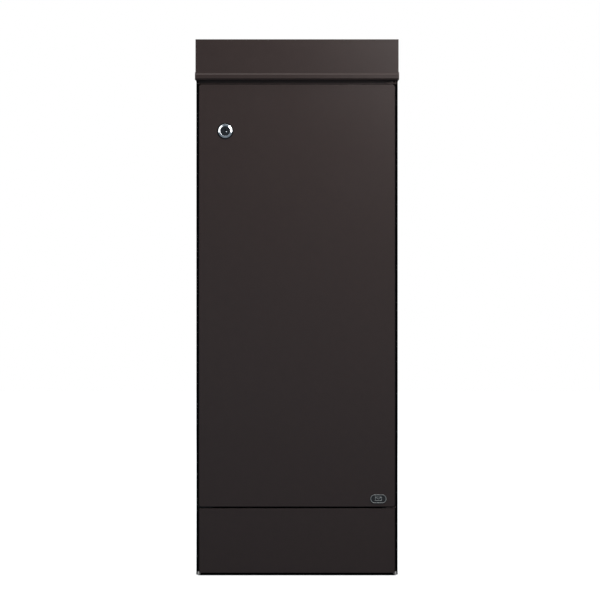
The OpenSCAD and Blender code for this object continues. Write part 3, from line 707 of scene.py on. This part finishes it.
def bezel(low, high, r):
    ring_in = PLUG_FACE + 0.2 * MM
    crest = ring_in + CREST
    rise = bezel_back - low
    shoulder = low + (r - SHOULDER - crest) * math.tan(math.radians(CONE))
    ring = [*arc((r - SHOULDER, bezel_back), (SHOULDER, shoulder - bezel_back), 0, 70, 6),
            *arc((crest, low + CREST), (CREST, -CREST), 90 - CONE, 180, 8),
            (ring_in, recess_y)]
    barrel = threads(BARREL, high, bezel_back + 0.6 * MM, 1.2 * MM, 0.4 * MM)
    return [*ring, (PLUG + 0.05 * MM, recess_y), (PLUG + 0.05 * MM, high), *barrel,
            (BARREL, bezel_back), (r, bezel_back)]


turned("lock_collar", [ALONG_Y], collar, 0.15 * MM, steps=LOCK_STEPS)
turned("lock_housing", [ALONG_Y], bezel, 0.05 * MM, steps=LOCK_STEPS)
turned("lock_nut", [ALONG_Y], nut(BARREL + 0.05 * MM), 0.2 * MM,
       shapes=nut_shape("lock_nut", ALONG_Y, 0), steps=LOCK_STEPS)
print("bezel", round(2 * bezel_r / MM, 1), "mm at", lock_at)

# %% The lock's plug
KEYWAY_HALF = (0.9 * MM, 4.2 * MM)
KEYWAY_DEPTH = 9 * MM
FACE_THICK = 0.65 * MM
TAIL = 8 * MM
PIN_DOME = 3.6 * MM
PIN_LEAN = math.radians(23)
PIN_SIDE = 2.4 * MM
PIN_DOWN = 1.9 * MM
PIN_ROOT = 0.3 * MM
plug_low, plug_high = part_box("lock_cylinder")
cam_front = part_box("lock_cam")[0].y
barrel_end = cam_front - 0.2 * MM


def push(bm, edges, depth, scale=1.0):
    """Extrudes a loop of edges along the lock's axis and draws it in; gives the new loop."""
    made = bmesh.ops.extrude_edge_only(bm, edges=edges)["geom"]
    verts = {g for g in made if isinstance(g, bmesh.types.BMVert)}
    for vert in verts:
        offset = vert.co - lock_at
        vert.co += Vector((offset.x * (scale - 1), depth, offset.z * (scale - 1)))
    return [g for g in made if isinstance(g, bmesh.types.BMEdge) and set(g.verts) <= verts]


bm = bmesh.new()
face_at = Matrix.Translation((lock_at.x, plug_low.y, lock_at.z)) @ Matrix.Rotation(
    math.radians(90), 4, "X")
bmesh.ops.create_circle(bm, segments=LOCK_STEPS, radius=PLUG_FACE, matrix=face_at)
rim = list(bm.edges)
to_keyway = Matrix.Diagonal((*KEYWAY_HALF, 1, 1)) @ Matrix.Rotation(math.radians(45), 4, "Z")
bmesh.ops.create_circle(bm, segments=4, radius=math.sqrt(2), matrix=face_at @ to_keyway)
keyway = [e for e in bm.edges if e not in rim]
bmesh.ops.triangle_fill(bm, edges=bm.edges, use_beauty=True)
bmesh.ops.edgeloop_fill(bm, edges=push(bm, keyway, KEYWAY_DEPTH))
loop = push(bm, rim, FACE_THICK)
loop = push(bm, loop, 0, PLUG / PLUG_FACE)
loop = push(bm, loop, barrel_end - plug_low.y - FACE_THICK)
bmesh.ops.edgeloop_fill(bm, edges=loop)
tail_length = plug_high.y - barrel_end + 0.3 * MM
bmesh.ops.create_cube(bm, size=1, matrix=Matrix.Translation(
    (lock_at.x, plug_high.y - tail_length / 2, lock_at.z)) @ Matrix.Diagonal(
    (TAIL, tail_length, TAIL, 1)))
bmesh.ops.recalc_face_normals(bm, faces=bm.faces)
without_pin = set(bm.faces)
pin_at = Vector((lock_at.x + PIN_SIDE, plug_low.y, lock_at.z - PIN_DOWN))
pin_r = PIN_DOME * math.sin(PIN_LEAN)
dome = arc((0, -PIN_DOME * math.cos(PIN_LEAN)), (PIN_DOME, PIN_DOME), 90,
           90 - math.degrees(PIN_LEAN), 6)
spin(bm, [*dome, (pin_r, -PIN_ROOT), (0, -PIN_ROOT)], -ALONG_Y, pin_at, {}, STEPS)
for face in set(bm.faces) - without_pin:
    face.material_index = 1
rounded("lock_plug", bm, "lock_cylinder", 0.12 * MM).data.materials.append(bright)
rounded("lock_cam_plate", welded("lock_cam"), "lock_cam", 0.5 * MM)
rounded("lock_strike_plate", welded("lock_strike"), "lock_strike", 0.3 * MM)

# %% [markdown]
# ## The badge
#
# A small enamelled plate with round ends carries a raised metal rim and an envelope, the sign
# for post. It is a slab with its corner edges bevelled until they are half circles. Its face is
# inset and pushed in, which leaves the rim, and the inner face takes the enamel.

# %% The badge
RIM = 1.0 * MM
RELIEF = 0.5 * MM
LINE = 0.8 * MM
ENVELOPE = Vector((13 * MM, RELIEF, 8 * MM))
badge_low, badge_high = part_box("door_badge")
badge_size = badge_high - badge_low
badge_mid = (badge_low + badge_high) / 2
sign_y = badge_low.y + RELIEF / 2


def slab(bm, size, middle, turn=0.0):
    place = Matrix.Translation(middle) @ Matrix.Rotation(turn, 4, "Y")
    bmesh.ops.create_cube(bm, size=1, matrix=place @ Matrix.Diagonal((*size, 1)))


bm = bmesh.new()
slab(bm, badge_size, badge_mid)
corners = [e for e in bm.edges if abs(e.verts[0].co.y - e.verts[1].co.y) > badge_size.y / 2]
bmesh.ops.bevel(bm, geom=corners, offset=badge_size.z * 0.49, segments=16, profile=0.5,
                affect="EDGES", material=-1)
face = min(bm.faces, key=lambda f: f.calc_center_median().y)
bmesh.ops.inset_region(bm, faces=[face], thickness=RIM, depth=0)
bmesh.ops.inset_region(bm, faces=[face], thickness=0.15 * MM, depth=-RELIEF)
face.material_index = 1
for side in (-1, 1):
    slab(bm, (ENVELOPE.x, RELIEF, LINE),
         (badge_mid.x, sign_y, badge_mid.z + side * (ENVELOPE.z - LINE) / 2))
    slab(bm, (LINE, RELIEF, ENVELOPE.z - 2 * LINE),
         (badge_mid.x + side * (ENVELOPE.x - LINE) / 2, sign_y, badge_mid.z))
    slab(bm, (ENVELOPE.x * 0.54, RELIEF * 0.9, LINE * 0.9),
         (badge_mid.x + side * ENVELOPE.x * 0.235, sign_y, badge_mid.z + ENVELOPE.z * 0.19),
         -side * math.atan2(ENVELOPE.z * 0.5, ENVELOPE.x / 2))
badge = rounded("badge_plate", bm, "door_badge", 0.1 * MM)
badge.data.materials.append(enamel)
print("badge", [round(c / MM, 1) for c in badge_size], "mm")

# %% [markdown]
# ## Rubber mat and seal
#
# The tray is lined with a studded rubber mat that softens a parcel's fall. A grid of faces is
# inset one by one and raised, which makes the studs, and the outer edge is extruded down. The
# door closes on a foam seal with well rounded edges.

# %% Rubber mat and seal
STUD_PITCH = 13 * MM
STUD_RISE = 0.8 * MM
mat_low, mat_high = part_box("floor_mat")
mat_size = mat_high - mat_low
mat_mid = (mat_low + mat_high) / 2
counts = [round(length / STUD_PITCH) for length in mat_size.xy]
bm = bmesh.new()
top_of_sheet = Matrix.Translation((mat_mid.x, mat_mid.y, mat_high.z - STUD_RISE))
bmesh.ops.create_grid(bm, x_segments=counts[0], y_segments=counts[1], size=0.5,
                      matrix=top_of_sheet @ Matrix.Diagonal((mat_size.x, mat_size.y, 1, 1)))
studs = list(bm.faces)
bmesh.ops.inset_individual(bm, faces=studs, thickness=3 * MM, depth=0)
bmesh.ops.inset_individual(bm, faces=studs, thickness=0.7 * MM, depth=STUD_RISE)
down = bmesh.ops.extrude_edge_only(bm, edges=[e for e in bm.edges if e.is_boundary])["geom"]
bmesh.ops.translate(bm, verts=[g for g in down if isinstance(g, bmesh.types.BMVert)],
                    vec=(0, 0, mat_low.z - mat_high.z + STUD_RISE))
bmesh.ops.edgeloop_fill(bm, edges=[e for e in bm.edges if e.is_boundary])
bmesh.ops.recalc_face_normals(bm, faces=bm.faces)
print("mat", len(studs), "studs,", len(bm.faces), "faces")
rounded("studded_mat", bm, "floor_mat", 0.15 * MM, segments=1)
rounded("door_seal_foam", welded("door_seal"), "door_seal", 1.4 * MM, segments=4)

# %% [markdown]
# ## Hinge plates and pins
#
# The door's pivot plates are sawn flat bar, and the pins have turned collars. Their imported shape
# is right, so they only need their edges broken.

# %% Hinge plates and pins
for node in ("door_hinge_plate_top", "door_hinge_plate_bottom", "door_pivot_pins"):
    rounded(node + "_eased", welded(node), node, 0.3 * MM)

# %% [markdown]
# ## Floor and light
#
# A dark satin panel shows its lights more than its colour. Two tall softboxes stand at the
# sides, high enough that the light falls away towards the plinth, and the lock's ring mirrors
# them as two bright arcs. Two more up on the right brighten the upper right corner. One overhead,
# a little in front, draws the line on the lip and adds a little to the front below it. A dim
# cool one stands low in front, where the plinth mirrors it, and one behind fills the back.


# %% Lights
def area_light(name, at, towards, size, power, colour=(1, 1, 1)):
    data = bpy.data.lights.new(name, "AREA")
    data.shape = "RECTANGLE"
    data.size, data.size_y = size
    data.energy = power
    data.color = colour
    light = bpy.data.objects.new(name, data)
    light.location = at
    light.rotation_euler = (Vector(towards) - Vector(at)).to_track_quat("-Z", "Y").to_euler()
    light.visible_camera = False
    bpy.context.scene.collection.objects.link(light)


middle = (cad_low + cad_high) / 2
area_light("soft_left", (-1.2, -1.1, 1.45), (0, front_y, 0.95), (0.6, 1.5), 5.4)
area_light("soft_right", (1.2, -1.1, 1.45), (0, front_y, 0.95), (0.6, 1.5), 11.6)
area_light("high_right", (0.85, -0.9, 1.95), (0, front_y, 1.1), (0.6, 0.7), 11.5)
area_light("near_right", (0.45, -1.2, 1.38), (0.2, front_y, 1.0), (0.3, 0.5), 3.2)
area_light("low_front", (0, -3.2, 0.35), (0, front_y, 0.2), (2.4, 0.6), 2.6, (0.71, 0.86, 1.0))
area_light("overhead", (0, -0.62, 2.9), (0, front_y, 1.0), (2.4, 0.8), 16)
area_light("back_fill", (0.9, 3.2, 2.2), middle, (2.5, 2.5), 45)
print(len(bpy.data.lights), "lights")


# %% [markdown]
# ## A white room
#
# The camera sees plain white, while the panels mirror a dim room: the world gives one thing to
# the camera and another to every other ray. The floor is nearly white by itself and throws no
# light back up at the box. It carries a painted shadow: it is black under the box and for a little
# way in front of the plinth, which from the front gives the dark line at its foot. Nothing stops
# the painted shadow at the back, so from any other side it shows as a black band that runs on
# behind the box. A ramp's scale goes from 0 to 1, so the place along Y is shifted by 1 before it
# goes in.

# %% World and floor
SHADE = 9 * MM
SOFT = 16 * MM
world = bpy.data.worlds.new("room")
world.use_nodes = True
bpy.context.scene.world = world
tree = world.node_tree
tree.nodes.clear()
room = tree.nodes.new("ShaderNodeBackground")
room.inputs["Color"].default_value = (0.71, 0.86, 1.0, 1)
room.inputs["Strength"].default_value = 0.24
backdrop = tree.nodes.new("ShaderNodeBackground")
backdrop.inputs["Color"].default_value = (1, 1, 1, 1)
path = tree.nodes.new("ShaderNodeLightPath")
mixer = tree.nodes.new("ShaderNodeMixShader")
world_end = tree.nodes.new("ShaderNodeOutputWorld")
tree.links.new(path.outputs["Is Camera Ray"], mixer.inputs[0])
tree.links.new(room.outputs[0], mixer.inputs[1])
tree.links.new(backdrop.outputs[0], mixer.inputs[2])
tree.links.new(mixer.outputs[0], world_end.inputs[0])

bm = bmesh.new()
bmesh.ops.create_grid(bm, x_segments=2, y_segments=2, size=9)
floor_mesh = bpy.data.meshes.new("floor")
bm.to_mesh(floor_mesh)
bm.free()
floor = bpy.data.objects.new("floor", floor_mesh)
floor.location.z = cad_low.z - 0.5 * MM
bpy.context.scene.collection.objects.link(floor)
paint = Finish("floor_paint_and_shadow")
foot_low, foot_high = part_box("plinth_panel")
inside_x = 1 - paint.ramp(paint.axis("X").absolute(), foot_high.x, cad_high.x)
front_edge = 1 + foot_low.y - SHADE
# Painted shadow: the floor's colour and glow go black under the box, a little in front of the
# plinth and all the way behind it.
under = inside_x * paint.ramp(paint.axis("Y") + 1, front_edge - SOFT, front_edge)
floor.data.materials.append(paint.surface(
    Base_Color=paint.blend(under, (0.82, 0.82, 0.82), (0.0, 0.0, 0.0)),
    Roughness=0.9,
    Specular_IOR_Level=0.0,
    Emission_Color=paint.blend(under, (1, 1, 1), (0, 0, 0)),
    Emission_Strength=0.9,
))
floor.visible_glossy = False
floor.visible_diffuse = False
print("black floor from y", round(front_edge - 1, 3))
bpy.context.scene.view_settings.view_transform = "Standard"
